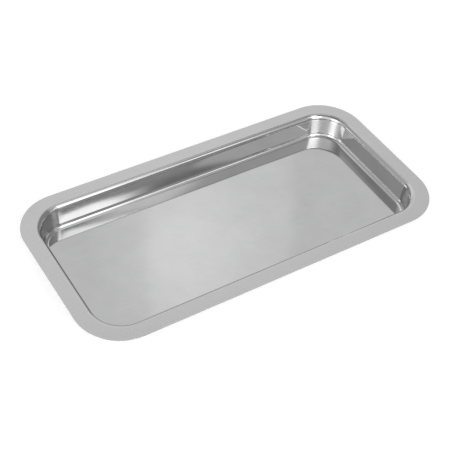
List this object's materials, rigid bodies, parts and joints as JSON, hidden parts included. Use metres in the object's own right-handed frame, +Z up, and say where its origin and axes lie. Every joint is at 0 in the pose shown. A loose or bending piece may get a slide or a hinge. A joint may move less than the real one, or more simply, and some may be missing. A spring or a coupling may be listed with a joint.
{
  "type": "counting tray",
  "caption": "Shallow rectangular tray pressed from one stainless steel sheet, with a wide flat satin rim, rounded corners and a polished wall.",
  "frame": {"origin": "on the surface that the tray stands on, under the middle of its floor", "axes": "+X along the long sides, +Y across the tray, +Z up, out of its open side"},
  "size_m": [0.3, 0.15, 0.02],
  "materials": {
    "stainless_sheet": "satin rim and floor, bright polished wall and bends, tumbled cut edge"
  },
  "bodies": {
    "root": {"pressed_tray": "stainless_sheet"}
  },
  "joints": []
}
